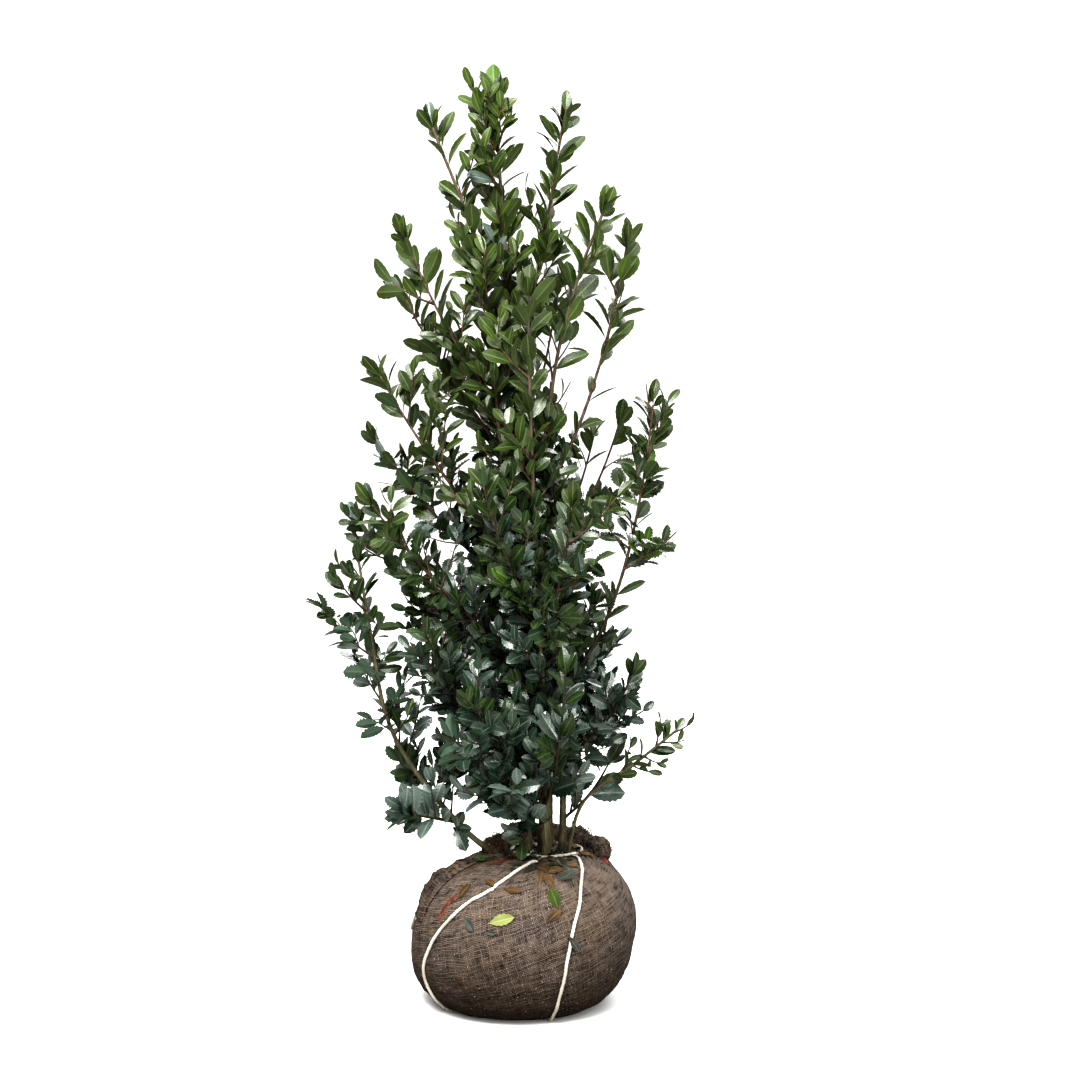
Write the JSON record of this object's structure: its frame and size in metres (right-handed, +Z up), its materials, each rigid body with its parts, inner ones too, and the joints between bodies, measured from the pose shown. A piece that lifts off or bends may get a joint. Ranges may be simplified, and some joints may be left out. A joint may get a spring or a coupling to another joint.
{
  "type": "young holly tree on its root ball",
  "caption": "Young evergreen holly with several upright stems, small glossy leaves on fine twigs, and a sacking-wrapped root ball tied with white twine.",
  "frame": {"origin": "on the flat underside of the root ball, near its middle, straight below a point beside the stems' foot", "axes": "+Z up, -Y the front, +X to the right as seen from the front"},
  "size_m": [0.6393, 0.5303, 1.5217],
  "materials": {
    "dark_leaf": "satin",
    "fresh_leaf": "satin",
    "bark": "matte",
    "sacking": "matte",
    "twine": "matte"
  },
  "bodies": {
    "root": {"bough_back_left": "bark", "bough_back_low": "bark", "bough_back_right": "bark", "bough_front_wide": "bark", "bough_left_high": "bark", "bough_left_upper": "bark", "bough_left_wide": "bark", "bough_right_high": "bark", "bough_right_wide": "bark", "foliage_back": "fresh_leaf", "foliage_back_foot": "dark_leaf", "foliage_back_high": "dark_leaf", "foliage_back_left": "dark_leaf", "foliage_back_low": "dark_leaf", "foliage_back_middle": "dark_leaf", "foliage_back_right": "dark_leaf", "foliage_back_shoulder": "dark_leaf", "foliage_back_top": "fresh_leaf", "foliage_front": "fresh_leaf", "foliage_front_foot": "dark_leaf", "foliage_front_low": "dark_leaf", "foliage_front_middle": "dark_leaf", "foliage_front_right": "dark_leaf", "foliage_front_wide": "dark_leaf", "foliage_inner_left": "dark_leaf", "foliage_inner_right": "dark_leaf", "foliage_left": "fresh_leaf", "foliage_left_high": "fresh_leaf", "foliage_left_lower": "dark_leaf", "foliage_left_middle": "dark_leaf", "foliage_left_top": "fresh_leaf", "foliage_left_upper": "dark_leaf", "foliage_left_wide": "dark_leaf", "foliage_low_inner": "dark_leaf", "foliage_low_left": "dark_leaf", "foliage_low_outer": "dark_leaf", "foliage_low_right": "dark_leaf", "foliage_low_side": "dark_leaf", "foliage_right": "fresh_leaf", "foliage_right_high": "fresh_leaf", "foliage_right_leader": "fresh_leaf", "foliage_right_low": "dark_leaf", "foliage_right_lower": "dark_leaf", "foliage_right_middle": "dark_leaf", "foliage_right_wide": "dark_leaf", "foliage_trunk": "fresh_leaf", "root_ball": "sacking", "sacking_collar": "sacking", "stem_back": "bark", "stem_front": "bark", "stem_left": "bark", "stem_low_left": "bark", "stem_low_right": "bark", "stem_right": "bark", "trunk": "bark", "twine_left": "twine", "twine_neck": "twine", "twine_right": "twine"}
  },
  "joints": []
}
